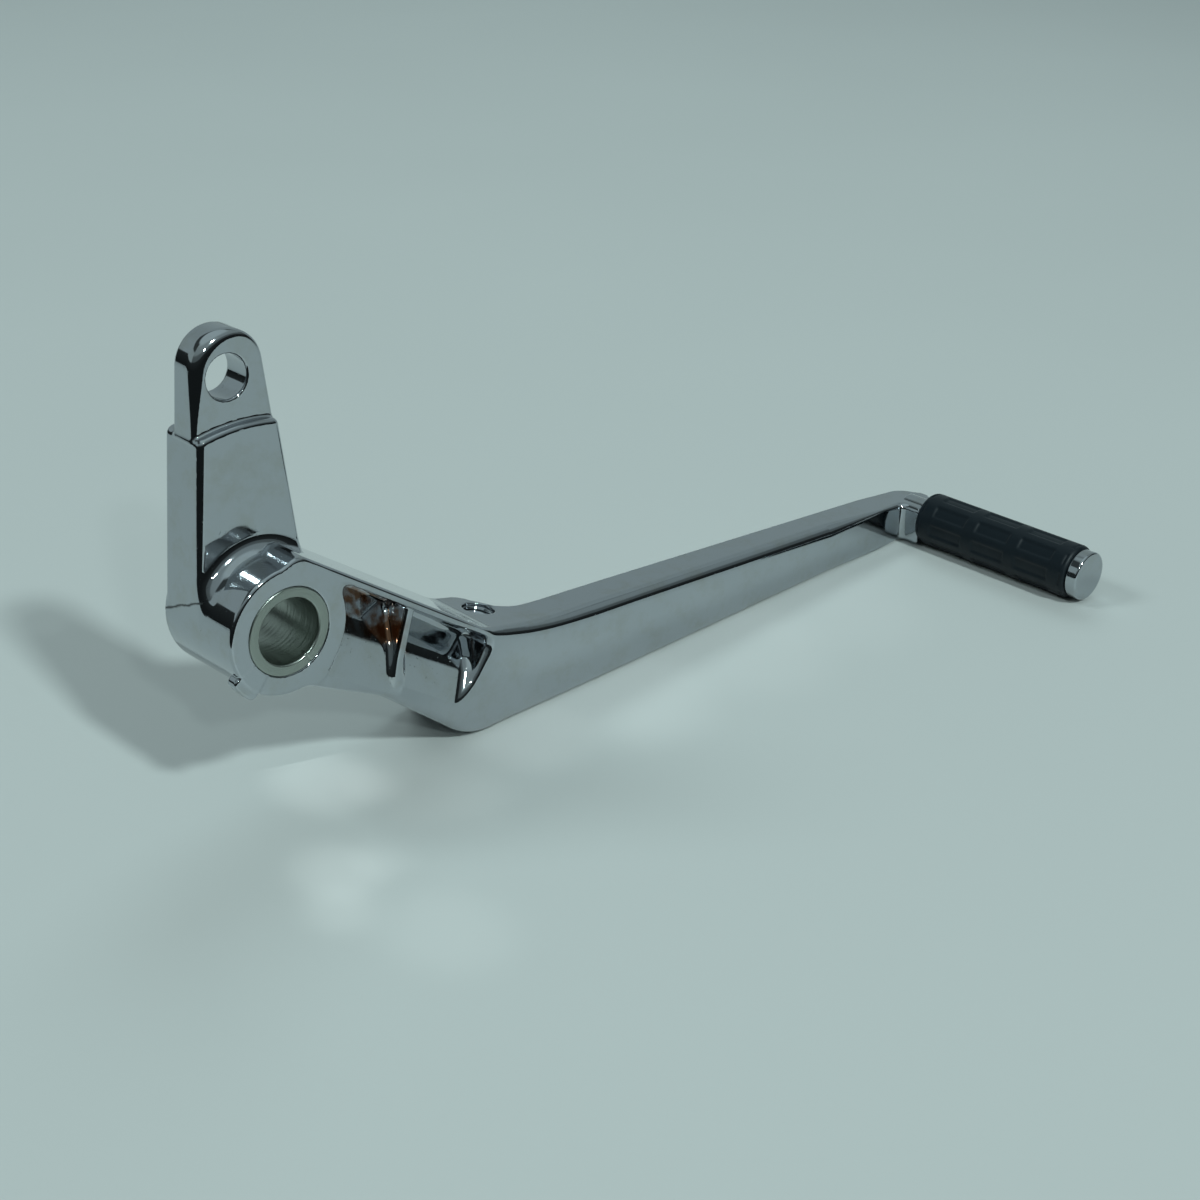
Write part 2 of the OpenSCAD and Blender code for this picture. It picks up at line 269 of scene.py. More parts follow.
mounts = {m["name"]: m for m in frame["record"]["mounts"]}
bush_lo, bush_hi = (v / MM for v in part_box("pivot_bush"))
rubber_lo, rubber_hi = (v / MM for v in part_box("peg_rubber"))
lever_lo, lever_hi = (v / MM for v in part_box("lever"))


def both(a, b, r):
    """Where both solids are, the edge between them rounded by r."""
    return np.minimum(-r, np.maximum(a, b)) + np.hypot(np.maximum(r + a, 0), np.maximum(r + b, 0))


def either(a, b, r):
    """The two solids joined, the corner between them filled by r."""
    return np.maximum(r, np.minimum(a, b)) - np.hypot(np.maximum(r - a, 0), np.maximum(r - b, 0))


def soft_step(v):
    """0 below -1, 1 above 1 and smooth between."""
    t = np.clip((v + 1) / 2, 0, 1)
    return t * t * (3 - 2 * t)


def graded(v, stops):
    """The value at v between stops of (place, value)."""
    return np.interp(v, *zip(*stops))


# Hub, with the stop tab below its outboard rim
HUB_R = 18.5
HUB_DRAFT = 0.7
HUB_RIM_R = 1.0
HUB_LEN = bush_hi.y
TAB_REACH, TAB_ANGLE, TAB_HALF, TAB_THICK = 21.0, 219.0, 13.5, 4.0
TAB_CORNER_R, TAB_RIM_R, TAB_ROOT_R = 2.0, 0.8, 0.5


def barrel(reach, y):
    """Distance to the hub's drafted wall."""
    return reach - HUB_R - HUB_DRAFT * y / HUB_LEN


def hub(x, y, z):
    """The hub's drum with its stop tab."""
    reach = np.hypot(x, z)
    body = both(barrel(reach, y), np.abs(y - HUB_LEN / 2) - HUB_LEN / 2, HUB_RIM_R)
    turn = np.degrees(np.arctan2(z, x)) % 360
    tab = both(reach - TAB_REACH, np.radians(np.abs(turn - TAB_ANGLE) - TAB_HALF) * reach, TAB_CORNER_R)
    tab = both(tab, np.abs(y - TAB_THICK / 2) - TAB_THICK / 2, TAB_RIM_R)
    return either(body, tab, TAB_ROOT_R)


# Tang: a thick foot up to a round shoulder, and above it a thinner tip with the rod's hole. Its round
# top stands a little forward of the hole and above it.
ROD_HOLE = Vector(mounts["rod_hole"]["pos_m"]) / MM
ROD_HOLE_R = mounts["rod_hole"]["dims"]["r_mm"]
TOP_FORWARD, TOP_ABOVE = 0.8, 1.7
TANG_TOP_R = 10.6
TANG_CENTRE = np.array((ROD_HOLE.x + TOP_FORWARD, ROD_HOLE.z + TOP_ABOVE))
TANG_LEFT, TANG_RIGHT = np.array((-18.9, 2.0)), np.array((16.3, 8.0))
FOOT_THICK, TIP_THICK, TIP_SET = 16.5, 9.6, 4.1
FOOT_FRONT = HUB_LEN - FOOT_THICK
TIP_BACK = HUB_LEN - TIP_SET
TIP_FRONT = TIP_BACK - TIP_THICK
BARREL_FRONT = 2.0
SHOULDER_R = 54.5
FOOT_FILLET_R, FOOT_EDGE_R, SHOULDER_EDGE_R, TIP_ROOT_R = 5.0, 1.9, 1.5, 0.9
# The tip's front edge is buffed rounder over its top, on the left
TIP_EDGE_R, CROWN_ROUND = 1.3, 2.4
CROWN_Z, CROWN_SOFT = 64, 12
CROWN_X, CROWN_SIDE_SOFT = 1, 7
# Inside the foot the tip is drawn a little thinner, so that their walls never coincide
TIP_SUNK, TIP_LOW = 1.2, 40


def tang_outline(x, z):
    """Side view of the tang: two straight flanks touching the round top."""
    p = np.stack((x, z), -1)
    out = None
    past = None
    for base, side in ((TANG_LEFT, 1), (TANG_RIGHT, -1)):
        gap = TANG_CENTRE - base
        reach = np.linalg.norm(gap)
        lean = math.atan2(gap[1], gap[0]) + side * math.asin(TANG_TOP_R / reach)
        way = np.array((math.cos(lean), math.sin(lean)))
        square = np.array((-way[1], way[0])) * side
        length = math.sqrt(reach**2 - TANG_TOP_R**2)
        flank = (p - base) @ square
        beyond = (p - base) @ way > length
        out = flank if out is None else np.maximum(out, flank)
        past = beyond if past is None else past & beyond
    crown = np.hypot(x - TANG_CENTRE[0], z - TANG_CENTRE[1]) - TANG_TOP_R
    return np.maximum(np.where(past, crown, out), TANG_LEFT[1] - z)


def tang(x, y, z):
    """The foot, which rises out of the barrel, and the thinner tip on it."""
    outline = tang_outline(x, z)
    reach = np.hypot(x, z)
    front = either(np.maximum(barrel(reach, y), BARREL_FRONT - y), FOOT_FRONT - y, FOOT_FILLET_R)
    foot = both(outline, front, FOOT_EDGE_R)
    foot = both(foot, y - HUB_LEN, FOOT_EDGE_R)
    foot = both(foot, reach - SHOULDER_R, SHOULDER_EDGE_R)
    crowned = soft_step((z - CROWN_Z) / CROWN_SOFT) * soft_step((CROWN_X - x) / CROWN_SIDE_SOFT)
    tip = both(outline, TIP_FRONT - y, TIP_EDGE_R + CROWN_ROUND * crowned)
    tip = np.maximum(tip, both(outline, y - TIP_BACK, TIP_EDGE_R))
    sunk = TIP_SUNK * np.clip(SHOULDER_R - 1 - reach, 0, 1)
    return either(foot, np.maximum(tip + sunk, TIP_LOW - z), TIP_ROOT_R)


# Arm: its heights and its back face are rounded lines over X, from the hub over the heel to the tip
PEG_X = (rubber_lo.x + rubber_hi.x) / 2
PEG_Z = (rubber_lo.z + rubber_hi.z) / 2
DROP = -lever_lo.z
HUB_SLOPE = math.radians(35.4)
TOP_OFFSET = 19.9
NORMAL = np.array((math.sin(HUB_SLOPE), math.cos(HUB_SLOPE)))
ALONG = np.array((math.cos(HUB_SLOPE), -math.sin(HUB_SLOPE)))
LUG_BACK, LUG_R = 8.6, 6
HEEL_TOP_SLOPE, HEEL_TOP_R = math.radians(14), 18
BEND_X, BEND_HEIGHT, BEND_R = 91.2, 28.7, 150
PEG_HEIGHT = 14.3
UNDER_SLOPE, KNEE_R = math.radians(28.5), 30
HEEL_X, HEEL_SLOPE, HEEL_R = 61.2, math.radians(40.5), 22
ARM_SET = 0.8
ARM_BACK = HUB_LEN - ARM_SET
# Ahead of the hub the back steps forward, just before the bend, to the arm's own thickness
STEP_START, STEP_START_R, STEP_STOP, STEP_STOP_R = 11.5, 6, 3, 10
BEND_THICK, END_THICK = 16.2, 12.2
PEG_TO_TIP, PAST_TIP = 8.7, 5
TIP_X = PEG_X + PEG_TO_TIP
LINE_END = TIP_X + PAST_TIP
ARC_STEPS = 12


def rounded_line(corners):
    """An open line through [x, y, radius] corners, its corners replaced by arcs, as two rows."""
    line = [corners[0][:2]]
    for p, c, q in zip(corners, corners[1:], corners[2:]):
        here = np.array(c[:2])
        u, v = (np.array(w[:2]) - here for w in (p, q))
        u, v = u / np.linalg.norm(u), v / np.linalg.norm(v)
        half = math.acos(float(u @ v)) / 2
        centre = here + (u + v) / np.linalg.norm(u + v) * c[2] / math.sin(half)
        start = here + u * c[2] / math.tan(half) - centre
        stop = here + v * c[2] / math.tan(half) - centre
        a, b = (math.atan2(w[1], w[0]) for w in (start, stop))
        sweep = (b - a + math.pi) % (2 * math.pi) - math.pi
        turn = a + sweep * np.linspace(0, 1, ARC_STEPS)
        line += [centre + c[2] * np.array((math.cos(t), math.sin(t))) for t in turn]
    line.append(corners[-1][:2])
    return np.array(line).T


def meet(p, a, q, b):
    """Meeting point of two lines, each given by a point and its slope."""
    x = (q[1] - p[1] + a * p[0] - b * q[0]) / (a - b)
    return np.array((x, p[1] + a * (x - p[0])))


def off_line(line, x, y):
    """Signed distance above a line that is a height over x, measured square to it."""
    slope = np.gradient(line[1], line[0])
    return (y - np.interp(x, *line)) / np.hypot(1, np.interp(x, line[0], slope))


foot = TOP_OFFSET * NORMAL
lug = foot - LUG_BACK * ALONG
bend = np.array((BEND_X, BEND_HEIGHT - DROP))
top_fall = (BEND_HEIGHT - PEG_HEIGHT) / (PEG_X - BEND_X)
heel_top = meet(foot, ALONG[1] / ALONG[0], bend, -math.tan(HEEL_TOP_SLOPE))
heel = np.array((HEEL_X, -DROP))
under = np.array((17.8, -25.6))
knee = meet(under, -math.tan(UNDER_SLOPE), heel, -math.tan(HEEL_SLOPE))
TOP_LINE = rounded_line(
    [
        (-3.1, 16.6),
        (*lug, LUG_R),
        (*heel_top, HEEL_TOP_R),
        (*bend, BEND_R),
        (LINE_END, bend[1] - top_fall * (LINE_END - BEND_X)),
    ]
)
UNDER_LINE = rounded_line([(-20, -5.1), (*knee, KNEE_R), (*heel, HEEL_R), (LINE_END, -DROP)])
BACK_LINE = rounded_line(
    [
        (-30, ARM_BACK),
        (BEND_X - STEP_START, ARM_BACK, STEP_START_R),
        (BEND_X - STEP_STOP, BEND_THICK, STEP_STOP_R),
        (LINE_END, END_THICK),
    ]
)

# The neck is the block that carries the peg out of the arm's end
NECK_WIDTH, NECK_BACK, NECK_EDGE_R, NECK_ROOT_R = 15.6, 4, 1.0, 2.2
NECK_LEFT = TIP_X - NECK_WIDTH
NECK_NEAR = 200
ARM_START = -3.0
BARREL_ROOT_R, TIP_CORNER_R = 1.5, 10.0
# Radius of the arm's edges over X, and what the buffing adds along the front's upper and lower edge
EDGE_R = ((20, 1.3), (60, 1.5), (75, 2.4), (100, 1.7), (130, 1.3), (255, 1.1), (270, 2.4))
UPPER_ROUND = ((64, 0), (84, 1.6), (112, 2.9), (226, 3.2), (252, 0.3))
LOWER_ROUND = ((14, 0), (32, 1.4), (60, 2.2), (226, 1.8), (252, 0))
FRONT_DEEP, FRONT_SOFT = 7, 2
UPPER_SHARP = 6


def arm(x, y, z):
    """The arm from the hub to its tip, with the neck and the scoop."""
    side = np.maximum(off_line(TOP_LINE, x, z), -off_line(UNDER_LINE, x, z))
    side = np.maximum(side, ARM_START - x)
    side = either(side, np.hypot(x, z) - HUB_R, BARREL_ROOT_R)
    plan = both(off_line(BACK_LINE, x, y), x - TIP_X, TIP_CORNER_R)
    plan = np.maximum(plan, -y)
    across_neck = np.abs(x - (TIP_X + NECK_LEFT) / 2) - (TIP_X - NECK_LEFT) / 2
    neck = np.maximum(both(across_neck, y - NECK_BACK, NECK_EDGE_R), rubber_hi.y - y)
    plan = np.where(x > NECK_NEAR, either(plan, neck, NECK_ROOT_R), plan)
    under = np.interp(x, *UNDER_LINE)
    upper = UPPER_SHARP * ((z - under) / np.maximum(np.interp(x, *TOP_LINE) - under, 1) - 0.5)
    front = soft_step((FRONT_DEEP - y) / FRONT_SOFT)
    edge = graded(x, EDGE_R)
    edge = edge + front * soft_step(upper) * graded(x, UPPER_ROUND)
    edge = edge + front * soft_step(-upper) * graded(x, LOWER_ROUND)
    return scoop(both(side, plan, edge), x, y, z)


# Scoop: a hollow under a lip in the arm's outboard face, split by a leaning rib into the recess
# beside the hub and the pocket beside the heel. Each floor climbs towards its foot by the tilts,
# in degrees, over the share of its height below the lip.
LIP = 2.6
SCOOP_DEPTH, SCOOP_END, SCOOP_END_R = 11.0, 73.4, 3.0
HUB_WALL, HUB_WALL_R = 0.4, 4.0
RECESS_HEIGHT, POCKET_HEIGHT = 25.0, 21.5
RECESS_TILTS = ((0, 12), (0.08, 34), (0.42, 38), (0.54, 26), (1, 22))
POCKET_TILTS = ((0, 5), (0.13, 30), (0.34, 46), (0.50, 36), (0.58, 27), (1, 24))
TILT_STEPS = 101
FLOOR_CORNER_R = ((25, 2.0), (60, 4.0))
RIM_R = ((20, 1.3), (55, 1.3), (72, 2.8))
RIM_SHARE = ((4, 1), (14, 0.6), (22, 0.02))
RIB_X, RIB_LEAN, RIB_HALF, RIB_SET = 43.9, math.radians(17.9), 1.7, 1.0
RIB_EDGE_R, RIB_DEEP, RIB_ABOVE, RIB_BELOW = 1.3, 14, 0.5, 26
RIB_ROOT_R = ((0, 0.2), (3, 2.2), (20, 2.2), (24, 0.2))
RIB_BLEND, RIB_NEAR = 2, 12


def floor_of(below, height, tilts):
    """Depth of a hollow's floor and the cosine of its tilt, at a distance below the lip."""
    u = np.linspace(0, 1, TILT_STEPS)
    tilt = np.radians(graded(u, tilts))
    depth = np.cumsum(np.tan(tilt[::-1]))[::-1]
    depth *= SCOOP_DEPTH / depth[0]
    at = np.clip(below / height, 0, 1)
    slope = np.gradient(depth, u)
    return np.interp(at, u, depth), 1 / np.hypot(1, np.interp(at, u, slope) / height)


def scoop(body, x, y, z):
    """The body with the hollow in its outboard face and the rib across it."""
    below = TOP_OFFSET - LIP - x * NORMAL[0] - z * NORMAL[1]
    along = x * ALONG[0] + z * ALONG[1]
    beside = (x - RIB_X) * math.cos(RIB_LEAN) - z * math.sin(RIB_LEAN)
    part = np.clip((beside + RIB_BLEND) / (2 * RIB_BLEND), 0, 1)
    recess_depth, recess_tilt = floor_of(below, RECESS_HEIGHT, RECESS_TILTS)
    pocket_depth, pocket_tilt = floor_of(below, POCKET_HEIGHT, POCKET_TILTS)
    depth = recess_depth + part * (pocket_depth - recess_depth)
    tilt = recess_tilt + part * (pocket_tilt - recess_tilt)
    sides = both(-below, along - SCOOP_END, SCOOP_END_R)
    sides = both(sides, HUB_R + HUB_WALL - np.hypot(x, z), HUB_WALL_R)
    hollow = both((y - depth) * tilt, sides, graded(along, FLOOR_CORNER_R))
    cut = both(body, -hollow, graded(along, RIM_R) * graded(below, RIM_SHARE))
    rib = both(np.abs(beside) - RIB_HALF, RIB_SET - y, RIB_EDGE_R)
    rib = np.maximum(rib, np.maximum(y - RIB_DEEP, np.maximum(-RIB_ABOVE - below, below - RIB_BELOW)))
    ribbed = either(cut, np.maximum(rib, body), graded(below, RIB_ROOT_R))
    return np.where(np.abs(beside) < RIB_NEAR, ribbed, cut)


# Peg core, from inside the neck to the disc that holds the rubber on
CORE_R, CORE_EDGE_R, CORE_IN_NECK, CORE_IN_DISC = 6.0, 0.5, 3, 2
DISC_R, DISC_RIM_R = 8.6, 0.8


def peg(x, y, z):
    """The core and the disc on its end."""
    off_axis = np.hypot(x - PEG_X, z - PEG_Z)
    core = both(off_axis - CORE_R, np.maximum(y - CORE_IN_NECK, rubber_lo.y - CORE_IN_DISC - y), CORE_EDGE_R)
    middle, half = (lever_lo.y + rubber_lo.y) / 2, (rubber_lo.y - lever_lo.y) / 2
    disc = both(off_axis - DISC_R, np.abs(y - middle) - half, DISC_RIM_R)
    return np.minimum(core, disc)


# Holes: the bush's, the rod's, and the adjuster's, which is bored out for its thread and sunk
FIT_GAP = 0.02
BUSH_HOLE_EDGE, ROD_HOLE_EDGE, ADJUSTER_EDGE = 0.5, 0.6, 0.4
ADJUSTER = mounts["adjuster_hole"]
ADJUSTER_R = ADJUSTER["dims"]["r_mm"]
ADJUSTER_HALF = ADJUSTER["dims"]["length_mm"] / 2
THREAD_DEPTH = 0.8
SINK_SLOPE, SINK_REACH = 0.5, 3


def drilled(solid, hole, edge):
    """The solid less a hole, the hole's rim broken by edge."""
    return both(solid, -hole, edge)


def adjuster_hole(p):
    """Distance to the adjuster hole's wall or bottom."""
    off = p - np.array(ADJUSTER["pos_m"]) / MM
    axis = np.array(ADJUSTER["axis"])
    up = off @ axis
    wall = np.linalg.norm(off - np.outer(up, axis), axis=1) - ADJUSTER_R - THREAD_DEPTH
    return np.maximum(wall - SINK_SLOPE * np.clip(up - ADJUSTER_HALF, 0, SINK_REACH), -ADJUSTER_HALF - up)


def lever_field(p):
    """Signed distance to the lever's surface at points in millimetres."""
    x, y, z = p[:, 0], p[:, 1], p[:, 2]
    solid = np.minimum(hub(x, y, z), arm(x, y, z))
    solid = np.minimum(solid, tang(x, y, z))
    solid = np.minimum(solid, peg(x, y, z))
    solid = drilled(solid, np.hypot(x, z) - bush_hi.x - FIT_GAP, BUSH_HOLE_EDGE)
    solid = drilled(solid, np.hypot(x - ROD_HOLE.x, z - ROD_HOLE.z) - ROD_HOLE_R, ROD_HOLE_EDGE)
    return drilled(solid, adjuster_hole(p), ADJUSTER_EDGE)


# Meshing. Only the blocks of voxels near the surface are sampled, in parts, to save time and memory.
VOXEL = 0.45
MARGIN = 2.0
BLOCK, BLOCKS_NEAR = 8, 1.5
BAND = 4
SAMPLE_PARTS = 8
PROBE = 0.02
PULLS, LEAST_SLOPE = 3, 0.3
FLAT_ANGLE = math.radians(0.12)
TINY = 1e-9


def sampled_grid(field, low, high):
    """The field on a grid of voxels, known exactly in a band around the surface."""
    counts = np.ceil((high - low) / (VOXEL * BLOCK)).astype(int)
    cells = np.stack(np.meshgrid(*(np.arange(n) for n in counts), indexing="ij"), -1).reshape(-1, 3)
    depth = field(low + (cells + 0.5) * BLOCK * VOXEL)
    near = np.abs(depth) < BLOCK * VOXEL * BLOCKS_NEAR
    grid = openvdb.FloatGrid(BAND * VOXEL)
    for corner in cells[~near & (depth < 0)] * BLOCK:
        far_corner = corner + BLOCK - 1
        grid.fill(tuple(int(c) for c in corner), tuple(int(c) for c in far_corner), -BAND * VOXEL, False)
    steps = np.stack(np.meshgrid(*[np.arange(BLOCK)] * 3, indexing="ij"), -1).reshape(-1, 3)
    corners = cells[near] * BLOCK
    points = (low + (corners[:, None, :] + steps[None]) * VOXEL).reshape(-1, 3)
    values = np.concatenate([field(part) for part in np.array_split(points, SAMPLE_PARTS)])
    values = np.clip(values, -BAND * VOXEL, BAND * VOXEL).astype(np.float32)
    for corner, cube in zip(corners, values.reshape(len(corners), BLOCK, BLOCK, BLOCK)):
        grid.copyFromArray(cube, ijk=tuple(int(c) for c in corner))
    return grid


def field_rise(field, points):
    """The field's gradient at points."""
    steps = PROBE * np.eye(3)
    return np.stack([field(points + s) - field(points - s) for s in steps], -1) / (2 * PROBE)


def field_mesh(name, field, low, high):
    """A mesh of the field's surface: each point is drawn onto it and takes its normal from the field,
    and faces that lie in one plane are joined."""
    verts, triangles, quads = sampled_grid(field, low, high).convertToPolygons(isovalue=0, adaptivity=0)
    verts = low + verts.astype(float) * VOXEL
    for _ in range(PULLS):
        rise = field_rise(field, verts)
        pull = field(verts)[:, None] * rise / np.maximum((rise * rise).sum(1), LEAST_SLOPE)[:, None]
        verts = verts - np.clip(pull, -VOXEL, VOXEL)
    faces = [tuple(int(i) for i in face) for face in (*triangles, *quads)]
    mesh = bpy.data.meshes.new(name)
    mesh.from_pydata((verts * MM).tolist(), [], faces)
    mesh.validate()
    joined = bmesh.new()
    joined.from_mesh(mesh)
    bmesh.ops.dissolve_limit(
        joined, angle_limit=FLAT_ANGLE, use_dissolve_boundaries=False, verts=joined.verts, edges=joined.edges
    )
    joined.to_mesh(mesh)
    joined.free()
    verts = np.empty(len(mesh.vertices) * 3)
    mesh.vertices.foreach_get("co", verts)
    rise = field_rise(field, verts.reshape(-1, 3) / MM)
    normals = rise / np.maximum(np.linalg.norm(rise, axis=1), TINY)[:, None]
    mesh.shade_smooth()
    # A joined flat keeps its own normal at every corner, and all else takes the field's
    flats, sides = np.empty(len(mesh.polygons) * 3), np.empty(len(mesh.polygons), int)
    mesh.polygons.foreach_get("normal", flats)
    mesh.polygons.foreach_get("loop_total", sides)
    corners = np.empty(len(mesh.loops), int)
    mesh.loops.foreach_get("vertex_index", corners)
    flat = np.repeat(flats.reshape(-1, 3), sides, axis=0)
    is_joined = np.repeat(sides > 4, sides)
    mesh.normals_split_custom_set(np.where(is_joined[:, None], flat, normals[corners]).tolist())
    thing = bpy.data.objects.new(name, mesh)
    bpy.context.scene.collection.objects.link(thing)
    return thing


lever = field_mesh("lever_plated", lever_field, np.array(lever_lo) - MARGIN, np.array(lever_hi) + MARGIN)
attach(lever, "root")
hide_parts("lever")

# Bright decorative chrome over buffed metal: mirror-smooth, with the long ripple of hand buffing,
# a little grime wiped thin over it, and pits under the plate, drawn coarser than real ones to show
RIPPLE, RIPPLE_DEPTH = 14.0, 0.4
PITS, PIT_DEPTH = 1.1, 0.08
PIT_FROM, PIT_TO = 0.66, 0.74
BUMP_STRENGTH = 0.12
GRIME = 9.0
GRIME_FROM, GRIME_TO = 0.48, 0.72
CLEAN_ROUGHNESS, GRIMY_ROUGHNESS = 0.05, 0.11

chrome, tree, out = new_material("chrome_plate")
place = add_node(tree, "ShaderNodeTexCoord").outputs["Object"]
ripple = add_node(tree, "ShaderNodeTexNoise", Vector=place, Scale=1 / (RIPPLE * MM), Detail=1.5)
pits = add_node(tree, "ShaderNodeTexNoise", Vector=place, Scale=1 / (PITS * MM), Detail=2.0)
pit_mask = add_node(tree, "ShaderNodeMapRange", Value=pits.outputs["Fac"], From_Min=PIT_FROM, From_Max=PIT_TO)
rippled = add_node(
    tree, "ShaderNodeBump", Strength=BUMP_STRENGTH, Distance=RIPPLE_DEPTH * MM, Height=ripple.outputs["Fac"]
)
pitted = add_node(
    tree, "ShaderNodeBump", Strength=BUMP_STRENGTH, Distance=PIT_DEPTH * MM,
    Height=pit_mask.outputs["Result"], Normal=rippled.outputs["Normal"],
)
grime = add_node(tree, "ShaderNodeTexNoise", Vector=place, Scale=1 / (GRIME * MM), Detail=6.0, Roughness=0.7)
grime_mask = add_node(
    tree, "ShaderNodeMapRange", Value=grime.outputs["Fac"], From_Min=GRIME_FROM, From_Max=GRIME_TO
)
plate = add_node(
    tree, "ShaderNodeMix", {"data_type": "RGBA"}, i0=grime_mask.outputs["Result"],
    i6=linear("#B3B8BD"), i7=linear("#ADB0AF"),
)
gloss = add_node(
    tree, "ShaderNodeMapRange", Value=grime_mask.outputs["Result"],
    To_Min=CLEAN_ROUGHNESS, To_Max=GRIMY_ROUGHNESS,
)


def soft_patch(tree, place, spans):
    """1 where a place lies in every span, and 0 outside. A span is a direction, how far along it the
    patch reaches, from low to high, and how soft its ends are, all in millimetres."""
    inside = 1.0
    for way, low, high, soft in spans:
        along = add_node(tree, "ShaderNodeVectorMath", {"operation": "DOT_PRODUCT"}, i0=place, i1=way)
        for end, before, after in ((low, 0.0, 1.0), (high, 1.0, 0.0)):
            step = add_node(
                tree, "ShaderNodeMapRange", {"interpolation_type": "SMOOTHSTEP"},
                Value=along.outputs["Value"], From_Min=(end - soft) * MM, From_Max=(end + soft) * MM,
                To_Min=before, To_Max=after,
            )
            product = add_node(
                tree, "ShaderNodeMath", {"operation": "MULTIPLY"}, i0=inside, i1=step.outputs["Result"]
            )
            inside = product.outputs["Value"]
    return inside


# Brown, in streaks, over the upper half of the recess
BROWN_TOP = TOP_OFFSET - LIP
BROWN_PATCH = (
    ((NORMAL[0], 0, NORMAL[1]), BROWN_TOP - 12.5, BROWN_TOP - 0.8, 1.2),
    ((1, 0, 0), 17.0, 41.5, 1.0),
    ((0, 1, 0), 1.2, 14.0, 0.5),
)
STREAKS = 5.5
STREAKS_FROM, STREAKS_TO = 0.40, 0.56

streaks = add_node(tree, "ShaderNodeTexNoise", Vector=place, Scale=1 / (STREAKS * MM), Detail=3.0)
streaky = add_node(
    tree, "ShaderNodeMapRange", Value=streaks.outputs["Fac"], From_Min=STREAKS_FROM, From_Max=STREAKS_TO
)
brown_streaks = add_node(
    tree, "ShaderNodeMath", {"operation": "MULTIPLY"},
    i0=soft_patch(tree, place, BROWN_PATCH), i1=streaky.outputs["Result"],
)
# The plating's colour turns brown in the streaks
browned = add_node(
    tree, "ShaderNodeMix", {"data_type": "RGBA"}, i0=brown_streaks.outputs["Value"],
    i6=plate.outputs[2], i7=linear("#7D5D48"),
)

# The casting's crease, where the tang's left side runs into the barrel: painted shade darkens it, and
# its finish is rougher. It is a thin line that falls towards the back and wobbles up and down.
CREASE_SHADE_PATCH = (
    ((0, 0.42, 1), 15.2, 15.7, 0.35),
    ((1, 0, 0), -25.0, -14.5, 0.5),
    ((0, 1, 0), 13.0, 32.0, 2.0),
)
WOBBLE, WOBBLE_HEIGHT = 3.5, 0.7
CREASE_ROUGHNESS = 0.4

wobble = add_node(tree, "ShaderNodeTexNoise", Vector=place, Scale=1 / (WOBBLE * MM), Detail=4.0)
wobble_by = add_node(
    tree, "ShaderNodeMapRange", Value=wobble.outputs["Fac"],
    To_Min=-WOBBLE_HEIGHT * MM, To_Max=WOBBLE_HEIGHT * MM,
)
upward = add_node(tree, "ShaderNodeCombineXYZ", Z=wobble_by.outputs["Result"])
wobbly = add_node(tree, "ShaderNodeVectorMath", {"operation": "ADD"}, i0=place, i1=upward.outputs["Vector"])
crease_shade_and_rough = soft_patch(tree, wobbly.outputs["Vector"], CREASE_SHADE_PATCH)
# Painted shade: the plating's colour is pulled to near black along the crease
crease_shaded = add_node(
    tree, "ShaderNodeMix", {"data_type": "RGBA"}, i0=crease_shade_and_rough, i6=browned.outputs[2], i7=linear("#2B2E2E")
)
roughness = add_node(
    tree, "ShaderNodeMath", {"operation": "MULTIPLY_ADD"},
    i0=crease_shade_and_rough, i1=CREASE_ROUGHNESS, i2=gloss.outputs["Result"],
)
skin = add_node(
    tree, "ShaderNodeBsdfPrincipled", Base_Color=crease_shaded.outputs[2], Metallic=1.0,
    Roughness=roughness.outputs["Value"], Normal=pitted.outputs["Normal"],
)
tree.links.new(skin.outputs[0], out.inputs[0])
lever.data.materials.append(chrome)

# Adjuster hole's thread. M10 with a pitch of 1.5 mm, tapped in the casting and plated with it.
# The lever's hole is bored out by the thread's depth, and the thread is a liner let into its wall.

THREAD_PITCH = 1.5
THREAD_LEAD_IN = 0.9
THREAD_SUNK = 0.3
THREAD_TURNS = 11
THREAD_ROUND, THREAD_ALONG = 64, 8


def tube_mesh(name, rings):
    """A closed mesh over rings of points in millimetres, each joined to the next, the last to the first."""
    count, around = rings.shape[:2]
    skins = []
    for i in range(count):
        here, there = i * around, (i + 1) % count * around
        for j in range(around):
            k = (j + 1) % around
            skins.append((here + j, here + k, there + k, there + j))
    mesh = bpy.data.meshes.new(name)
    mesh.from_pydata((rings.reshape(-1, 3) * MM).tolist(), [], skins)
    mesh.shade_smooth()
    thing = bpy.data.objects.new(name, mesh)
    bpy.context.scene.collection.objects.link(thing)
    return thing


hole_axis = Vector(ADJUSTER["axis"])
hole_side = hole_axis.orthogonal().normalized()
hole_across = hole_axis.cross(hole_side)
hole_top = Vector(ADJUSTER["pos_m"]) / MM + hole_axis * ADJUSTER_HALF
thread_end = THREAD_LEAD_IN + THREAD_TURNS * THREAD_PITCH
down = np.linspace(THREAD_LEAD_IN, thread_end, THREAD_TURNS * THREAD_ALONG + 1)
turn = np.linspace(0, 2 * math.pi, THREAD_ROUND, endpoint=False)
phase = (down[:, None] / THREAD_PITCH + turn[None] / (2 * math.pi)) % 1
fade = np.clip((down - THREAD_LEAD_IN) / THREAD_PITCH, 0, 1)[:, None]
groove = ADJUSTER_R + THREAD_DEPTH * (1 - fade * np.abs(2 * phase - 1))
outside = np.full((1, THREAD_ROUND), ADJUSTER_R + THREAD_DEPTH + THREAD_SUNK)
ring_r = np.concatenate((outside, groove, outside))
ring_down = np.concatenate((down[:1], down, down[-1:]))
spokes = [hole_side * math.cos(t) + hole_across * math.sin(t) for t in turn]
spots = [
    [hole_top - hole_axis * d + spoke * r for spoke, r in zip(spokes, row)]
    for d, row in zip(ring_down, ring_r)
]
thread = tube_mesh("adjuster_thread", np.array(spots))
thread.data.materials.append(chrome)
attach(thread, "root")
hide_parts("lever")

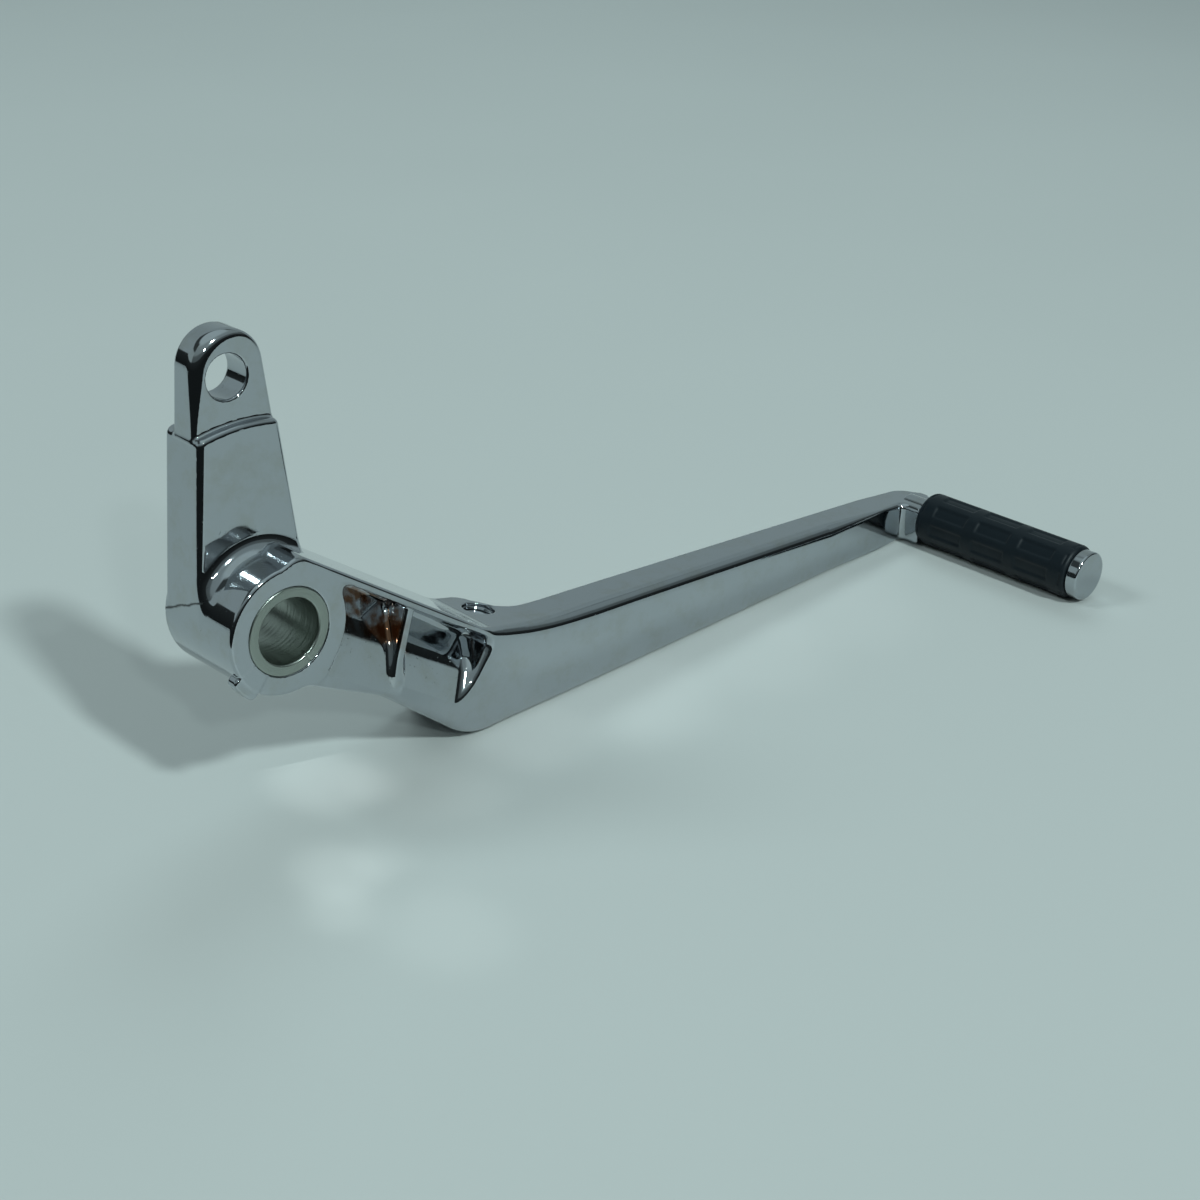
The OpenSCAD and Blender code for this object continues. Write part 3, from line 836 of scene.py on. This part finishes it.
# Pivot bush. A plain steel bush, turned and bored, pressed into the hub. Its end faces are dull from
# handling, its bore keeps the boring tool's rings, and its seam shows as a nick at the lower right.

BUSH_SOFT, BORE_SOFT = 0.35, 0.7
FACE_OUTER, FACE_INNER = 1.2, 1.4
BORE_RINGS = (3.0, 7.0)
SEAM_ANGLE, SEAM_HALF, SEAM_DEPTH = math.radians(-62), math.radians(1.6), 0.5
BUSH_ROUND, CORNER_STEPS = 192, 5

# The rings on the face and down the bore keep the corners' soft shading off the flats
bore_r = mounts["pivot_bore"]["dims"]["r_mm"]
quarter = np.linspace(0, math.pi / 2, CORNER_STEPS)
cosine, sine = np.cos(quarter), np.sin(quarter)
outer_corner = np.stack((bush_hi.x - BUSH_SOFT * (1 - cosine), BUSH_SOFT * (1 - sine)), -1)
inner_corner = np.stack((bore_r + BORE_SOFT * (1 - sine), BORE_SOFT * (1 - cosine)), -1)
face = [(bush_hi.x - FACE_OUTER, 0.0), (bore_r + FACE_INNER, 0.0)]
front_half = np.concatenate((outer_corner, face, inner_corner, [(bore_r, depth) for depth in BORE_RINGS]))
front_half[:, 1] += bush_lo.y
back_half = front_half[::-1].copy()
back_half[:, 1] = bush_hi.y + bush_lo.y - back_half[:, 1]
reach, depth = np.concatenate((front_half, back_half)).T[:, :, None]
turn = np.linspace(0, 2 * math.pi, BUSH_ROUND, endpoint=False)
off_seam = np.abs((turn - SEAM_ANGLE + math.pi) % (2 * math.pi) - math.pi)
nick = np.clip(1 - off_seam / SEAM_HALF, 0, 1) * (depth < bush_lo.y + SEAM_DEPTH)
rings = np.stack((reach * np.cos(turn), depth + SEAM_DEPTH * nick, reach * np.sin(turn)), -1)
bush = tube_mesh("bush", rings)

# Turned steel: dull grey, its shine broken into fine rings round the bore and the faces. The rings
# are a noise stretched along them, drawn coarser than real tool marks so that they show.
BORE_PITCH, FACE_PITCH, RING_LENGTH = 0.9, 0.6, 9.0
RING_DEPTH = 0.3

steel, tree, out = new_material("turned_steel")
place = add_node(tree, "ShaderNodeTexCoord").outputs["Object"]
parts = add_node(tree, "ShaderNodeSeparateXYZ", Vector=place)
radial = add_node(tree, "ShaderNodeVectorMath", {"operation": "MULTIPLY"}, i0=place, i1=(1, 0, 1))
reach = add_node(tree, "ShaderNodeVectorMath", {"operation": "LENGTH"}, i0=radial.outputs["Vector"])
inward = add_node(
    tree, "ShaderNodeMath", {"operation": "MULTIPLY"}, i0=parts.outputs["Y"], i1=1 / (BORE_PITCH * MM)
)
outward = add_node(
    tree, "ShaderNodeMath", {"operation": "MULTIPLY"}, i0=reach.outputs["Value"], i1=1 / (FACE_PITCH * MM)
)
grain = add_node(tree, "ShaderNodeCombineXYZ", X=inward.outputs["Value"], Y=outward.outputs["Value"])
around = add_node(
    tree, "ShaderNodeVectorMath", {"operation": "SCALE"}, i0=place, Scale=1 / (RING_LENGTH * MM)
)
grain_at = add_node(
    tree, "ShaderNodeVectorMath", {"operation": "ADD"},
    i0=grain.outputs["Vector"], i1=around.outputs["Vector"],
)
tool_rings = add_node(tree, "ShaderNodeTexNoise", Vector=grain_at.outputs["Vector"], Scale=1.0, Detail=2.0)
bump = add_node(
    tree, "ShaderNodeBump", Strength=0.45, Distance=RING_DEPTH * MM, Height=tool_rings.outputs["Fac"]
)
skin = add_node(
    tree, "ShaderNodeBsdfPrincipled", Base_Color=linear("#9CA39C"), Metallic=1.0, Roughness=0.30,
    Normal=bump.outputs["Normal"],
)
tree.links.new(skin.outputs[0], out.inputs[0])
bush.data.materials.append(steel)
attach(bush, "root")
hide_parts("pivot_bush")

# Peg rubber. A moulded sleeve of black rubber stretched over the core: three rings of shallow soft
# hollows for grip, short notches where the next rings would start, and both ends rounded.

TREAD_COUNT, TREAD_PITCH = 8, 18.2
TREAD_LEN, TREAD_HALF, TREAD_DEPTH, TREAD_SOFT = 13.4, math.radians(12.5), 0.6, 0.6
RUBBER_R = (rubber_hi.z - rubber_lo.z) / 2
RUBBER_END_R, END_STEPS = 1.6, 7
RUBBER_BORE_R = CORE_R + FIT_GAP
RUBBER_BORE_RIM, RUBBER_TURN_IN = 0.3, 2
LENGTH_STEPS, ROUND_STEPS = ((150, 160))


def sleeve_rings():
    """Rings of points: out of the bore, over an end, along the tread, over the other end and back in."""
    length = rubber_hi.y - rubber_lo.y
    middle = (rubber_hi.y + rubber_lo.y) / 2
    corner = np.linspace(0, math.pi / 2, END_STEPS)
    end_s = length / 2 - RUBBER_END_R * (1 - np.sin(corner))
    end_r = RUBBER_R - RUBBER_END_R * (1 - np.cos(corner))
    in_s = (length / 2, length / 2 - RUBBER_BORE_RIM, length / 2 - RUBBER_TURN_IN)
    in_r = (RUBBER_BORE_R + RUBBER_BORE_RIM, RUBBER_BORE_R, RUBBER_BORE_R)
    half_s, half_r = np.concatenate((end_s, in_s)), np.concatenate((end_r, in_r))
    straight = np.linspace(-end_s[0], end_s[0], LENGTH_STEPS)[1:-1]
    s = np.concatenate((-half_s[::-1], straight, half_s))
    r = np.concatenate((half_r[::-1], np.full(len(straight), RUBBER_R), half_r))
    off_ring = np.abs((s + TREAD_PITCH / 2) % TREAD_PITCH - TREAD_PITCH / 2)
    in_ring = soft_step((TREAD_LEN / 2 - off_ring) / TREAD_SOFT)
    turn = np.linspace(0, 2 * math.pi, ROUND_STEPS, endpoint=False)
    sector = 2 * math.pi / TREAD_COUNT
    off_turn = np.abs((turn + sector / 2) % sector - sector / 2) * RUBBER_R
    in_turn = soft_step((TREAD_HALF * RUBBER_R - off_turn) / TREAD_SOFT)
    tread = TREAD_DEPTH * (in_ring * np.isclose(r, RUBBER_R))[:, None] * in_turn[None]
    reach = r[:, None] - tread
    y = np.broadcast_to((middle + s)[:, None], reach.shape)
    return np.stack((PEG_X + reach * np.cos(turn), y, PEG_Z + reach * np.sin(turn)), -1)


sleeve = tube_mesh("sleeve", sleeve_rings())

# Moulded rubber: nearly black, with a low sheen that the mould's slight unevenness breaks up
SKIN_GRAIN, SKIN_DEPTH = 6.0, 0.4
SMOOTH_SKIN, ROUGH_SKIN = 0.36, 0.56

black, tree, out = new_material("moulded_rubber")
place = add_node(tree, "ShaderNodeTexCoord").outputs["Object"]
uneven = add_node(tree, "ShaderNodeTexNoise", Vector=place, Scale=1 / (SKIN_GRAIN * MM), Detail=3.0)
bump = add_node(
    tree, "ShaderNodeBump", Strength=0.35, Distance=SKIN_DEPTH * MM, Height=uneven.outputs["Fac"]
)
rough = add_node(
    tree, "ShaderNodeMapRange", Value=uneven.outputs["Fac"], To_Min=SMOOTH_SKIN, To_Max=ROUGH_SKIN
)
skin = add_node(
    tree, "ShaderNodeBsdfPrincipled", Base_Color=linear("#0C161C"), Specular_IOR_Level=0.3,
    Roughness=rough.outputs["Result"], Normal=bump.outputs["Normal"],
)
tree.links.new(skin.outputs[0], out.inputs[0])
sleeve.data.materials.append(black)
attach(sleeve, "root")
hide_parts("peg_rubber")
